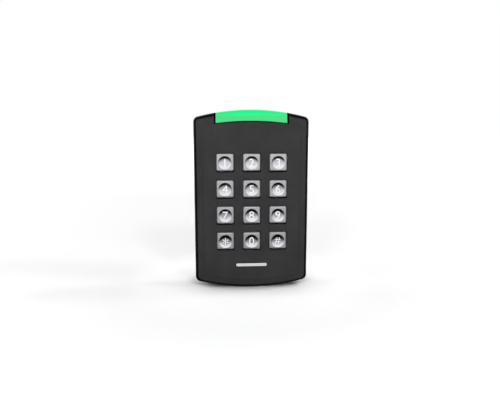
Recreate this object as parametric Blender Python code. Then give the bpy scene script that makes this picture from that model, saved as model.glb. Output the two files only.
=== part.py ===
"""RFID card reader with a keypad, as separate named pieces.

The frame: +X to the right, -Y out of the front, +Z up. The origin is the centre of the wall plate's
back face, where the reader meets the wall. Every size below is in millimetres, and the mesh points
are scaled to metres when they are made.
"""

import math

import bmesh
import bpy
from mathutils import Matrix

TO_METRES = 0.001
GAP = 0.3                      # clear space between pieces that touch
OVERRUN = 1.0                  # how far a cutter runs past the surface that it cuts
FAR_DOWN = -70.0               # well below the body's bottom edge
ROUND_END_FLAT = 0.1           # half the short flat left at the end of a slot or a strip

# Outer outline of the body, seen from the front
BODY_HALF_WIDTH = 41.3
BODY_HALF_HEIGHT = 65.25
END_RADIUS = 155.0             # the top and bottom edges bulge on this radius
CORNER_RADIUS = 4.0
LEAST_CORNER = 1.0             # of an outline moved in from the outer one
CORNER_STEPS = 4
END_STEPS = 10

# Raised flat face inside the sloping border
FACE_HALF_WIDTH = 35.5
FACE_TOP = 56.9
FACE_TOP_RADIUS = 284.0
FACE_BOTTOM = -59.3
FACE_CORNER_RADIUS = 2.5

# Depths, from the front to the wall
FACE_Y = -23.0
BORDER_END_Y = -22.3           # where the sloping border turns into the rounded edge
BORDER_END_SHARE = 0.5         # and how far out from the face to the outer edge that is
EDGE_START_Y = -18.8           # where the rounded edge meets the straight side
FRONT_WALL_Y = -21.0           # inside of the front wall
CAVITY_SIDE_Y = -18.0          # where the cavity's straight sides end
LEDGE_Y = -6.6                 # the step that the rear cover seals against
SKIRT_Y = -0.6                 # rear edge of the housing
SKIRT_WALL = 1.5
CAVITY_WALL = 3.0
EDGE_STEPS = 4

# Light bar along the top edge
LENS_HALF_WIDTH = 25.3
LENS_LOW_Z = 57.5              # its lower edge at the middle
LENS_LOW_RADIUS = 198.0
LENS_BACK_Y = -11.0
GUIDE_HALF_WIDTH = 24.0
GUIDE_RADIUS = 210.0
GUIDE_PROFILE = [(-17.5, 52.5), (-20.6, 52.5), (-20.6, 56.2), (-18.9, 59.6), (-17.5, 59.6)]
GUIDE_STEPS = 8
LED_X = [-18.0, -6.0, 6.0, 18.0]
LED_Z = 55.5
LED_SIZE = (3.0, 1.0, 2.0)
LED_EDGE = 0.3

# Keys
KEY_PITCH = 19.05
KEYPAD_Z = -0.4                # the middle of the keys
KEY_NAMES = [["1", "2", "3"], ["4", "5", "6"], ["7", "8", "9"], ["star", "0", "hash"]]
KEY_HALF = 6.3
KEY_CORNER = 1.3
WINDOW_HALF = 6.6
WINDOW_LOW = 7.2               # the window leaves more room below its key
WINDOW_CORNER = 1.2
KEY_TOP_Y = -24.2
KEY_CHAMFER = 0.9
DISH_DROP = 0.4                # the dish sits a little low on its key
DISH_PROFILE = [(4.8, 0.0), (4.3, 0.35), (3.0, 0.65), (1.2, 0.7)]      # radius, depth
KEY_BACK_Y = -21.0
KEY_HOLLOW_HALF = 5.0
KEY_HOLLOW_CORNER = 0.6
KEY_HOLLOW_Y = -22.6
FLANGE_HALF = 7.2
FLANGE_CORNER = 1.0
FLANGE_FRONT_Y = -20.7
FLANGE_BACK_Y = -19.7
CORE_HALF = 4.7
CORE_CORNER = 0.5
CORE_FRONT_Y = -22.3

# Rubber mat under the keys
MAT_HALF_WIDTH = 26.5
MAT_HALF_HEIGHT = 36.5
MAT_CORNER = 2.0
MAT_FRONT_Y = -17.2
MAT_BACK_Y = -16.2
DOME_PROFILE = [(5.2, -16.7), (5.2, -17.3), (3.6, -19.1), (3.3, -19.4)]
DOME_HOLLOW = [(4.4, -16.0), (4.2, -16.7), (2.8, -18.3)]

# Main board and what sits on it
BOARD_FRONT_Y = -15.9
BOARD_BACK_Y = -14.3
BOARD_HALF_WIDTH = 31.5
BOARD_TOP = 60.5
BOARD_BOTTOM = -54.5
BOARD_CORNER = 2.0
COIL_OUTER = (30.4, 42.5)
COIL_CORNERS = (3.0, 1.0)                 # outside and inside
COIL_WIDTH = 3.2
COIL_CENTRE_Z = -1.0
COIL_THICKNESS = 0.5
RF_CHIP = (15.0, 24.0, 3.5, 1.0)          # x, z, half size, height
PROCESSOR_CHIP = (-15.0, 22.0, 5.0, 1.4)
CHIP_CORNER = 0.6
CHIP_EDGE = 0.2
BUZZER = (-18.0, -32.0, 6.0, 5.0)         # x, z, radius, height
BUZZER_EDGE = 0.4
BUZZER_PORT = (1.1, 1.0)                  # radius, depth
TERMINALS = 8
TERMINAL_PITCH = 3.5
TERMINAL_Z = -12.0
TERMINAL_HALF_HEIGHT = 3.5
TERMINAL_BACK_Y = -6.0
TERMINAL_END = 0.5                        # wall outside the first and last way
TERMINAL_HOLE = 1.2                       # radius of a screw well, half width of a wire entry
TERMINAL_WELL = (1.2, 2.5)                # how far above the middle, depth
TERMINAL_ENTRY = (3.0, 2.6)               # depth, height off the board

# Tamper plunger: a sprung pin that feels the wall
TAMPER_X = 22.0
TAMPER_Z = -30.0
TAMPER_SWITCH_HALF = 2.6
TAMPER_SWITCH_CORNER = 0.4
TAMPER_SWITCH_BACK_Y = -10.5
TAMPER_BUTTON = (1.3, 0.8)                # radius, height
TAMPER_COVER_HOLE = 1.9
TAMPER_PLATE_HOLE = 2.1
PLUNGER_PROFILE = [(1.2, -8.2), (1.2, -6.9), (4.9, -6.9), (4.9, -5.6), (1.6, -5.6), (1.6, 1.1), (1.2, 1.5)]
SPRING_RADIUS = 4.3
SPRING_WIRE = 0.3
SPRING_TURNS = 4
SPRING_ENDS_Y = (-13.6, -7.5)

# Rear cover, gasket and cable grommet
COVER_FRONT_Y = -5.3
COVER_BACK_Y = -2.9
GASKET_Y = (-6.3, -5.6)
GROMMET_Z = 22.0
GROMMET_PROFILE = [(3.0, -6.6), (5.4, -6.6), (6.0, -5.6), (4.2, -5.6),
                   (4.2, -2.6), (6.0, -2.6), (5.4, -1.2), (3.0, -1.2)]
GROMMET_HOLE = 4.5
NOTCH_HALF_WIDTH = 8.0                    # the seal goes round the security screw's lip
NOTCH_TOP = -57.0
NOTCH_WALL = 1.5
NOTCH_CUT_Y = (-9.0, 1.0)

# Screws
COVER_SCREW_X = 36.0
COVER_SCREW_Z = 50.0
BOARD_SCREW_X = 26.0
BOARD_SCREW_Z = (46.5, -48.5)
COVER_BOSS_RADIUS = 3.2
BOARD_BOSS_RADIUS = 2.8
BOARD_BOSS_Y = -16.2
COVER_BOSS_Y = -7.0
COVER_PILOT_Y = -16.5
BOARD_PILOT_Y = -20.5
COVER_SCREW = (2.5, 0.75, 12.0)           # head radius, head height, whole length
BOARD_SCREW = (2.2, 1.3, 7.0)
SECURITY_SCREW = (1.9, 0.95, 7.0)
COVER_SCREW_HEAD_Y = -2.95
COUNTERBORE = (2.9, -4.0)                 # radius, and where it ends
SCREW_SHANK = 1.2
SCREW_HOLE = 1.5
SCREW_TIP = 0.6
SECURITY_Y = -4.15
SECURITY_HEAD_Z = -65.15                  # just inside the body's bottom edge
SECURITY_SEAT_Z = -63.9
SECURITY_HOLE_END_Z = -56.65

# Wall plate
PLATE_FRONT_Y = -2.0
PLATE_INSET = 3.2
CABLE_WINDOW_HALF_WIDTH = 14.0
CABLE_WINDOW_Z = (8.0, 36.0)
GANG_SCREW_Z = 41.65                      # half the screw spacing of a single gang box
SLOT_HALF = (4.5, 2.0)
PLATE_HOLE = (30.0, 50.0, 2.0)            # x, z, radius of the extra wall fixings
LIP_HALF_WIDTH = 5.0
LIP_Z = (-61.2, -59.2)
LIP_FRONT_Y = -6.3
SECURITY_BOSS_HALF_WIDTH = 4.5            # the housing's solid block below the lip
LUG_X = 20.0
LUG_Z = (51.0, 53.0)
LUG_HALF_WIDTH = 4.0
LUG_FRONT_Y = -4.0
LUG_SLOT = (0.5, 0.6, 2.0)                # room beside, below and above a lug in the rear cover

# Blank badge
BADGE_HALF = (11.3, 1.15)
BADGE_Z = -47.5
BADGE_Y = (-23.05, -22.6)
RECESS_BACK_Y = -22.3

# Colour, roughness and metallic value of each material
MATERIALS = {
    "black_plastic": ((0.045, 0.045, 0.046), 0.5, 0.0),
    "green_lens": ((0.05, 0.86, 0.28), 0.25, 0.0),
    "clear_plastic": ((0.85, 0.88, 0.86), 0.2, 0.0),
    "key_metal": ((0.62, 0.62, 0.63), 0.28, 1.0),
    "badge_white": ((0.85, 0.85, 0.85), 0.4, 0.0),
    "silicone": ((0.20, 0.20, 0.21), 0.7, 0.0),
    "board_green": ((0.02, 0.16, 0.07), 0.45, 0.0),
    "copper": ((0.72, 0.36, 0.20), 0.35, 1.0),
    "chip_black": ((0.03, 0.03, 0.03), 0.5, 0.0),
    "terminal_green": ((0.05, 0.38, 0.16), 0.5, 0.0),
    "steel": ((0.60, 0.60, 0.60), 0.32, 1.0),
    "white_plastic": ((0.80, 0.80, 0.78), 0.4, 0.0),
}


# Outlines: lists of (x, z) points, all going the same way round

def rounded_end(half_width, edge, radius, corner):
    """Upper right corner and the start of the bulging end, from the side up to the middle."""
    centre_z = edge - radius
    corner_x = half_width - corner
    corner_z = centre_z + math.sqrt((radius - corner) ** 2 - corner_x ** 2)
    meet = math.atan2(corner_z - centre_z, corner_x)
    points = []
    for step in range(CORNER_STEPS + 1):
        angle = meet * step / CORNER_STEPS
        points.append((corner_x + corner * math.cos(angle), corner_z + corner * math.sin(angle)))
    half_steps = END_STEPS // 2
    for step in range(1, half_steps + 1):
        angle = meet + (math.pi / 2 - meet) * step / half_steps
        points.append((radius * math.cos(angle), centre_z + radius * math.sin(angle)))
    return points


def shield(half_width, top, top_radius, bottom, bottom_radius, corner):
    """Straight sides and bulging ends, with rounded corners."""
    upper = rounded_end(half_width, top, top_radius, corner)
    lower = [(x, -z) for x, z in rounded_end(half_width, -bottom, bottom_radius, corner)]
    upper_left = [(-x, z) for x, z in reversed(upper[:-1])]
    lower_left = [(-x, z) for x, z in lower[:-1]]
    return upper + upper_left + lower_left + list(reversed(lower))


def body_outline(inset):
    """The body's outer outline, moved in by inset."""
    edge = BODY_HALF_HEIGHT - inset
    radius = END_RADIUS - inset
    corner = max(CORNER_RADIUS - inset, LEAST_CORNER)
    return shield(BODY_HALF_WIDTH - inset, edge, radius, -edge, radius, corner)


def face_outline():
    bottom_radius = END_RADIUS - (BODY_HALF_HEIGHT + FACE_BOTTOM)
    return shield(FACE_HALF_WIDTH, FACE_TOP, FACE_TOP_RADIUS, FACE_BOTTOM, bottom_radius, FACE_CORNER_RADIUS)


def between(inner, outer, share):
    return [(a[0] + (b[0] - a[0]) * share, a[1] + (b[1] - a[1]) * share) for a, b in zip(inner, outer)]


def box_outline(half_width, half_height, corner=0.0, steps=1):
    """A rectangle, with its corners rounded in steps if corner is given."""
    if corner == 0.0:
        return [(half_width, half_height), (-half_width, half_height),
                (-half_width, -half_height), (half_width, -half_height)]
    points = []
    for quarter, (side_x, side_z) in enumerate([(1, 1), (-1, 1), (-1, -1), (1, -1)]):
        for step in range(steps + 1):
            angle = math.pi / 2 * (quarter + step / steps)
            x = side_x * (half_width - corner) + corner * math.cos(angle)
            points.append((x, side_z * (half_height - corner) + corner * math.sin(angle)))
    return points


def circle(radius, segments):
    """A round outline, whose points start half a step up so that it lines up with box_outline."""
    angles = [2 * math.pi * (i + 0.5) / segments for i in range(segments)]
    return [(radius * math.cos(angle), radius * math.sin(angle)) for angle in angles]


def star(outer, inner, segments):
    """A driver socket: every second point of a round outline moved in."""
    turn = 2 * math.pi / segments
    radii = [outer if i % 2 else inner for i in range(segments)]
    return [(r * math.cos(turn * (i + 0.5)), r * math.sin(turn * (i + 0.5))) for i, r in enumerate(radii)]


def moved(outline, x, z):
    return [(px + x, pz + z) for px, pz in outline]


# Making solids

def material(name):
    made = bpy.data.materials.get(name)
    if made:
        return made
    made = bpy.data.materials.new(name)
    made.use_nodes = True
    shader = made.node_tree.nodes["Principled BSDF"]
    colour, roughness, metallic = MATERIALS[name]
    shader.inputs["Base Color"].default_value = (*colour, 1.0)
    shader.inputs["Roughness"].default_value = roughness
    shader.inputs["Metallic"].default_value = metallic
    made.diffuse_color = (*colour, 1.0)
    return made


def add_rings(bm, rings, cyclic):
    """Faces through rings of (outline, y), all with as many points, with a cap at each free end."""
    loops = [[bm.verts.new((x, y, z)) for x, z in outline] for outline, y in rings]
    following = loops[1:] + loops[:1] if cyclic else loops[1:]
    for near, far in zip(loops, following):
        for i in range(len(near)):
            j = (i + 1) % len(near)
            bm.faces.new((near[i], near[j], far[j], far[i]))
    if not cyclic:
        bm.faces.new(loops[0])
        bm.faces.new(loops[-1])


def finish_object(name, bm, finish, location):
    bmesh.ops.recalc_face_normals(bm, faces=bm.faces)
    bmesh.ops.scale(bm, vec=(TO_METRES,) * 3, verts=bm.verts)
    mesh = bpy.data.meshes.new(name)
    bm.to_mesh(mesh)
    bm.free()
    mesh.shade_smooth()
    mesh.set_sharp_from_angle(angle=math.radians(35))
    made = bpy.data.objects.new(name, mesh)
    made.location = [c * TO_METRES for c in location]
    bpy.context.scene.collection.objects.link(made)
    if finish:
        mesh.materials.append(material(finish))
    else:
        made.hide_render = True
        made.display_type = "WIRE"
    return made


def solid(name, rings, finish=None, location=(0, 0, 0), cyclic=False):
    """One closed body. Without a finish it is a cutter, which isn't a piece of the object."""
    bm = bmesh.new()
    add_rings(bm, rings, cyclic)
    return finish_object(name, bm, finish, location)


def many(name, groups, finish=None):
    """Separate bodies in one cutter, each from its own rings."""
    bm = bmesh.new()
    for rings in groups:
        add_rings(bm, rings, False)
    return finish_object(name, bm, finish, (0, 0, 0))


def slab(outline, front, back):
    return [(outline, front), (outline, back)]


def block(half_width, low_z, high_z, front, back, x=0.0):
    centre_z = (low_z + high_z) / 2
    return slab(moved(box_outline(half_width, (high_z - low_z) / 2), x, centre_z), front, back)


def turned(profile, segments, x=0.0, z=0.0):
    """Rings of a round piece about a line along Y, from its (radius, y) profile."""
    return [(moved(circle(radius, segments), x, z), y) for radius, y in profile]


def rods(radius, front, back, segments, places):
    """Round rods along Y, one at each place."""
    return [turned([(radius, front), (radius, back)], segments, x, z) for x, z in places]


def boolean(target, other, operation="DIFFERENCE"):
    modifier = target.modifiers.new(other.name, "BOOLEAN")
    modifier.operation = operation
    modifier.solver = "EXACT"
    modifier.object = other


def mirrored_places(x, heights):
    return [(side * x, z) for z in heights for side in (-1, 1)]


# Front housing and light bar

def outer_rings():
    """The body's outer surface, from the flat face back to the rear edge."""
    face = face_outline()
    outer = body_outline(0.0)
    slope = (BORDER_END_Y - FACE_Y) / BORDER_END_SHARE
    bend_y = FACE_Y + slope
    rings = [(face, FACE_Y)]
    for step in range(EDGE_STEPS + 1):
        t = step / EDGE_STEPS
        share = (1 - t) ** 2 * BORDER_END_SHARE + 2 * t * (1 - t) + t ** 2
        y = (1 - t) ** 2 * BORDER_END_Y + 2 * t * (1 - t) * bend_y + t ** 2 * EDGE_START_Y
        rings.append((between(face, outer, share), y))
    rings.append((outer, SKIRT_Y))
    return rings


def cavity_rings():
    sides = body_outline(CAVITY_WALL)
    return [(face_outline(), FRONT_WALL_Y), (sides, CAVITY_SIDE_Y), (sides, COVER_FRONT_Y)]


def lens_outline(spread):
    """The light bar's area seen from the front, grown by spread on each side."""
    half_width = LENS_HALF_WIDTH + spread
    centre_z = LENS_LOW_Z - spread - LENS_LOW_RADIUS
    points = []
    for step in range(END_STEPS + 1):
        x = -half_width + 2 * half_width * step / END_STEPS
        points.append((x, centre_z + math.sqrt(LENS_LOW_RADIUS ** 2 - x ** 2)))
    above = BODY_HALF_HEIGHT + CORNER_RADIUS
    return points + [(half_width, above), (-half_width, above)]


def make_front_housing():
    housing = solid("front_housing", outer_rings(), "black_plastic")

    pocket = solid("cut_rear_pocket", slab(body_outline(SKIRT_WALL), LEDGE_Y, OVERRUN))
    boss_y = (LEDGE_Y - OVERRUN, PLATE_FRONT_Y - GAP)
    screw_boss = block(SECURITY_BOSS_HALF_WIDTH, FAR_DOWN, LIP_Z[0] - GAP, *boss_y)
    boolean(pocket, solid("keep_security_boss", screw_boss))
    boolean(housing, pocket)

    cavity = solid("cut_cavity", cavity_rings())
    cover_places = mirrored_places(COVER_SCREW_X, (COVER_SCREW_Z, -COVER_SCREW_Z))
    board_places = mirrored_places(BOARD_SCREW_X, BOARD_SCREW_Z)
    bosses = rods(COVER_BOSS_RADIUS, FACE_Y + OVERRUN, COVER_BOSS_Y, 16, cover_places)
    bosses += rods(BOARD_BOSS_RADIUS, FACE_Y + OVERRUN, BOARD_BOSS_Y, 16, board_places)
    boolean(cavity, many("keep_bosses", bosses))
    notch = block(NOTCH_HALF_WIDTH + NOTCH_WALL, FAR_DOWN, NOTCH_TOP + NOTCH_WALL, FACE_Y, 0.0)
    boolean(cavity, solid("keep_notch_wall", notch))
    boolean(housing, cavity)

    windows = []
    middle = (WINDOW_HALF - WINDOW_LOW) / 2
    outline = box_outline(WINDOW_HALF, (WINDOW_HALF + WINDOW_LOW) / 2, WINDOW_CORNER)
    for _, x, z in key_places():
        windows.append(slab(moved(outline, x, z + middle), FACE_Y - OVERRUN, FRONT_WALL_Y + OVERRUN))
    boolean(housing, many("cut_key_windows", windows))
    boolean(housing, solid("cut_lens_notch", slab(lens_outline(GAP), FACE_Y - OVERRUN, LENS_BACK_Y + GAP)))
    recess = moved(box_outline(BADGE_HALF[0] + GAP, BADGE_HALF[1] + GAP, BADGE_HALF[1], 3), 0.0, BADGE_Z)
    boolean(housing, solid("cut_badge_recess", slab(recess, FACE_Y - OVERRUN, RECESS_BACK_Y)))

    pilots = rods(SCREW_HOLE, COVER_PILOT_Y, COVER_BOSS_Y + OVERRUN, 12, cover_places)
    pilots += rods(SCREW_HOLE, BOARD_PILOT_Y, BOARD_BOSS_Y + OVERRUN, 12, board_places)
    boolean(housing, many("cut_pilot_holes", pilots))
    boolean(housing, security_cutter("cut_security_hole"))


def make_light_bar():
    lens = solid("light_bar_lens", outer_rings(), "green_lens")
    area = slab(lens_outline(0.0), FACE_Y - OVERRUN, LENS_BACK_Y)
    boolean(lens, solid("keep_lens_area", area), "INTERSECT")
    boolean(lens, solid("cut_lens_inside", cavity_rings()))

    bm = bmesh.new()
    sections = []
    for step in range(GUIDE_STEPS + 1):
        x = GUIDE_HALF_WIDTH * (2 * step / GUIDE_STEPS - 1)
        drop = GUIDE_RADIUS - math.sqrt(GUIDE_RADIUS ** 2 - x ** 2)
        sections.append([bm.verts.new((x, y, z - drop)) for y, z in GUIDE_PROFILE])
    for near, far in zip(sections, sections[1:]):
        for i in range(len(near)):
            j = (i + 1) % len(near)
            bm.faces.new((near[i], near[j], far[j], far[i]))
    bm.faces.new(sections[0])
    bm.faces.new(sections[-1])
    finish_object("light_guide", bm, "clear_plastic", (0, 0, 0))

    width, depth, height = LED_SIZE
    edge = LED_EDGE
    back = BOARD_FRONT_Y - GAP
    for number, x in enumerate(LED_X, 1):
        drop = GUIDE_RADIUS - math.sqrt(GUIDE_RADIUS ** 2 - x ** 2)
        outline = box_outline(width / 2, height / 2)
        lip = box_outline(width / 2 - edge, height / 2 - edge)
        rings = [(lip, -depth), (outline, edge - depth), (outline, 0.0)]
        solid(f"led_{number}", rings, "white_plastic", (x, back, LED_Z - drop))


# Keys and the rubber mat

def key_places():
    """Every key's name and the place of its centre, row by row from the top."""
    places = []
    for row, names in enumerate(KEY_NAMES):
        for column, name in enumerate(names):
            x = (column - (len(names) - 1) / 2) * KEY_PITCH
            places.append((name, x, KEYPAD_Z + ((len(KEY_NAMES) - 1) / 2 - row) * KEY_PITCH))
    return places


def key_square(half, corner):
    return box_outline(half, half, corner, 3)


def make_keys():
    top = KEY_TOP_Y - KEY_BACK_Y
    hollow = key_square(KEY_HOLLOW_HALF, KEY_HOLLOW_CORNER)
    side = key_square(KEY_HALF, KEY_CORNER)
    rim = key_square(KEY_HALF - KEY_CHAMFER, KEY_CORNER - KEY_CHAMFER)
    cap_rings = [(hollow, KEY_HOLLOW_Y - KEY_BACK_Y), (hollow, 0.0), (side, 0.0),
                 (side, top + KEY_CHAMFER), (rim, top)]
    cap_rings += [(moved(circle(radius, 16), 0.0, -DISH_DROP), top + depth) for radius, depth in DISH_PROFILE]
    core = box_outline(CORE_HALF, CORE_HALF, CORE_CORNER)
    flange = box_outline(FLANGE_HALF, FLANGE_HALF, FLANGE_CORNER)
    step_y = FLANGE_FRONT_Y - FLANGE_BACK_Y
    carrier_rings = [(core, CORE_FRONT_Y - FLANGE_BACK_Y), (core, step_y), (flange, step_y), (flange, 0.0)]
    for name, x, z in key_places():
        solid(f"key_cap_{name}", cap_rings, "key_metal", (x, KEY_BACK_Y, z))
        solid(f"key_carrier_{name}", carrier_rings, "clear_plastic", (x, FLANGE_BACK_Y, z))


def make_keypad_mat():
    sheet = moved(box_outline(MAT_HALF_WIDTH, MAT_HALF_HEIGHT, MAT_CORNER, 2), 0.0, KEYPAD_Z)
    mat = solid("keypad_mat", slab(sheet, MAT_FRONT_Y, MAT_BACK_Y), "silicone")
    boolean(mat, many("join_domes", [turned(DOME_PROFILE, 8, x, z) for _, x, z in key_places()]), "UNION")
    boolean(mat, many("cut_domes", [turned(DOME_HOLLOW, 8, x, z) for _, x, z in key_places()]))


# Electronics

def make_boards():
    outline = shield(BOARD_HALF_WIDTH, BOARD_TOP, END_RADIUS, BOARD_BOTTOM, END_RADIUS, BOARD_CORNER)
    board = solid("main_board", slab(outline, BOARD_FRONT_Y, BOARD_BACK_Y), "board_green")
    places = mirrored_places(BOARD_SCREW_X, BOARD_SCREW_Z)
    holes = rods(SCREW_HOLE, BOARD_FRONT_Y - OVERRUN, BOARD_BACK_Y + OVERRUN, 12, places)
    boolean(board, many("cut_board_holes", holes))

    outer = box_outline(*COIL_OUTER, COIL_CORNERS[0], 3)
    inner = box_outline(COIL_OUTER[0] - COIL_WIDTH, COIL_OUTER[1] - COIL_WIDTH, COIL_CORNERS[1], 3)
    back = BOARD_FRONT_Y - GAP
    front = back - COIL_THICKNESS
    rings = [(outer, front), (outer, back), (inner, back), (inner, front)]
    solid("antenna_coil", rings, "copper", (0, 0, COIL_CENTRE_Z), cyclic=True)

    on_back = BOARD_BACK_Y + GAP
    for name, (x, z, half, height) in (("rf_chip", RF_CHIP), ("processor_chip", PROCESSOR_CHIP)):
        side = box_outline(half, half, CHIP_CORNER)
        lid = box_outline(half - CHIP_EDGE, half - CHIP_EDGE, CHIP_CORNER)
        rings = [(side, 0.0), (side, height - CHIP_EDGE), (lid, height)]
        solid(name, rings, "chip_black", (x, on_back, z))

    x, z, radius, height = BUZZER
    port, depth = BUZZER_PORT
    profile = [(radius, 0.0), (radius, height - BUZZER_EDGE), (radius - BUZZER_EDGE, height),
               (port, height), (port, height - depth)]
    solid("buzzer", turned(profile, 20), "chip_black", (x, on_back, z))


def make_terminal_block():
    half_width = TERMINALS * TERMINAL_PITCH / 2 + TERMINAL_END
    low, high = TERMINAL_Z - TERMINAL_HALF_HEIGHT, TERMINAL_Z + TERMINAL_HALF_HEIGHT
    on_back = BOARD_BACK_Y + GAP
    body = solid("terminal_block", block(half_width, low, high, on_back, TERMINAL_BACK_Y), "terminal_green")
    places = [((number - (TERMINALS - 1) / 2) * TERMINAL_PITCH, TERMINAL_Z + TERMINAL_WELL[0])
              for number in range(TERMINALS)]
    cuts = rods(TERMINAL_HOLE, TERMINAL_BACK_Y - TERMINAL_WELL[1], TERMINAL_BACK_Y + OVERRUN, 8, places)
    depth, height = TERMINAL_ENTRY
    front = on_back + TERMINAL_HOLE
    cuts += [block(TERMINAL_HOLE, low - OVERRUN, low + depth, front, front + height, x) for x, _ in places]
    boolean(body, many("cut_terminal_wells", cuts))


def make_tamper():
    on_back = BOARD_BACK_Y + GAP
    half = TAMPER_SWITCH_HALF
    height = TAMPER_SWITCH_BACK_Y - on_back
    side = key_square(half, TAMPER_SWITCH_CORNER)
    radius, rise = TAMPER_BUTTON
    button = circle(radius, 16)
    rings = [(side, 0.0), (side, height - rise), (button, height - rise), (button, height)]
    solid("tamper_switch", rings, "chip_black", (TAMPER_X, on_back, TAMPER_Z))
    solid("tamper_plunger", turned(PLUNGER_PROFILE, 16), "white_plastic", (TAMPER_X, 0.0, TAMPER_Z))
    make_spring()


def make_spring():
    """A coil spring round the switch, from the board to the plunger's collar."""
    curve = bpy.data.curves.new("tamper_spring", "CURVE")
    curve.dimensions = "3D"
    curve.bevel_depth = SPRING_WIRE * TO_METRES
    curve.bevel_resolution = 1
    curve.use_fill_caps = True
    steps = SPRING_TURNS * 12
    line = curve.splines.new("POLY")
    line.points.add(steps)
    for step, point in enumerate(line.points):
        angle = 2 * math.pi * SPRING_TURNS * step / steps
        y = SPRING_ENDS_Y[0] + (SPRING_ENDS_Y[1] - SPRING_ENDS_Y[0]) * step / steps
        place = (SPRING_RADIUS * math.cos(angle), y, SPRING_RADIUS * math.sin(angle))
        point.co = (*[c * TO_METRES for c in place], 1.0)
    curve.materials.append(material("steel"))
    spring = bpy.data.objects.new("tamper_spring", curve)
    spring.location = (TAMPER_X * TO_METRES, 0.0, TAMPER_Z * TO_METRES)
    bpy.context.scene.collection.objects.link(spring)


# Rear cover, its seal and the cable inlet

def make_rear_cover():
    outline = body_outline(SKIRT_WALL + GAP)
    cover = solid("rear_cover", slab(outline, COVER_FRONT_Y, COVER_BACK_Y), "black_plastic")
    boolean(cover, solid("cut_cover_notch", block(NOTCH_HALF_WIDTH, FAR_DOWN, NOTCH_TOP, *NOTCH_CUT_Y)))
    front, back = COVER_FRONT_Y - OVERRUN, COVER_BACK_Y + OVERRUN
    wide, seat = COUNTERBORE
    profile = [(SCREW_HOLE, front), (SCREW_HOLE, seat), (wide, seat), (wide, back)]
    places = mirrored_places(COVER_SCREW_X, (COVER_SCREW_Z, -COVER_SCREW_Z))
    holes = [turned(profile, 12, x, z) for x, z in places]
    holes += rods(GROMMET_HOLE, front, back, 20, [(0.0, GROMMET_Z)])
    holes += rods(TAMPER_COVER_HOLE, front, back, 16, [(TAMPER_X, TAMPER_Z)])
    beside, below, above = LUG_SLOT
    low, high = LUG_Z[0] - below, LUG_Z[1] + above
    slot_half_width = LUG_HALF_WIDTH + beside
    holes += [block(slot_half_width, low, high, LUG_FRONT_Y - GAP, back, side * LUG_X) for side in (-1, 1)]
    boolean(cover, many("cut_cover_holes", holes))

    gasket = solid("rear_gasket", slab(outline, *GASKET_Y), "silicone")
    boolean(gasket, solid("cut_gasket_notch", block(NOTCH_HALF_WIDTH, FAR_DOWN, NOTCH_TOP, *NOTCH_CUT_Y)))
    inside = slab(body_outline(CAVITY_WALL), GASKET_Y[0] - OVERRUN, GASKET_Y[1] + OVERRUN)
    middle = solid("cut_gasket_middle", inside)
    wall = block(NOTCH_HALF_WIDTH + NOTCH_WALL, FAR_DOWN, NOTCH_TOP + NOTCH_WALL, *NOTCH_CUT_Y)
    boolean(middle, solid("keep_gasket_notch", wall))
    boolean(gasket, middle)

    rings = turned(GROMMET_PROFILE, 20)
    solid("cable_grommet", rings, "silicone", (0, 0, GROMMET_Z), cyclic=True)


# Screws

def screw_rings(head_radius, head_height, length):
    """A screw along Y with its head's top at 0 and its shank running to -Y."""
    socket = star(head_radius * 0.50, head_radius * 0.34, 12)
    return [(socket, -head_height * 0.5), (socket, 0.0), (circle(head_radius * 0.8, 12), 0.0),
            (circle(head_radius, 12), -head_height * 0.3), (circle(head_radius, 12), -head_height),
            (circle(SCREW_SHANK, 12), -head_height), (circle(SCREW_SHANK, 12), SCREW_TIP - length),
            (circle(SCREW_SHANK * 0.5, 12), -length)]


def make_screws():
    rings = screw_rings(*COVER_SCREW)
    places = mirrored_places(COVER_SCREW_X, (COVER_SCREW_Z, -COVER_SCREW_Z))
    for number, (x, z) in enumerate(places, 1):
        solid(f"cover_screw_{number}", rings, "steel", (x, COVER_SCREW_HEAD_Y, z))
    rings = screw_rings(*BOARD_SCREW)
    head_y = BOARD_BACK_Y + GAP + BOARD_SCREW[1]
    for number, (x, z) in enumerate(mirrored_places(BOARD_SCREW_X, BOARD_SCREW_Z), 1):
        solid(f"board_screw_{number}", rings, "steel", (x, head_y, z))
    security = solid("security_screw", screw_rings(*SECURITY_SCREW), "steel")
    security.matrix_world = security_frame()


def security_frame():
    """The security screw's own frame: its head looks down, just inside the body's bottom edge."""
    place = [c * TO_METRES for c in (0.0, SECURITY_Y, SECURITY_HEAD_Z)]
    return Matrix.Translation(place) @ Matrix.Rotation(-math.pi / 2, 4, "X")


def security_cutter(name):
    """A stepped hole from below, in the screw's own frame."""
    wide = SECURITY_SCREW[0] + GAP
    seat = SECURITY_HEAD_Z - SECURITY_SEAT_Z
    end = SECURITY_HEAD_Z - SECURITY_HOLE_END_Z
    profile = [(SCREW_HOLE, end), (SCREW_HOLE, seat), (wide, seat), (wide, OVERRUN)]
    cutter = solid(name, turned(profile, 12))
    cutter.matrix_world = security_frame()
    return cutter


# Wall plate and badge

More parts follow.
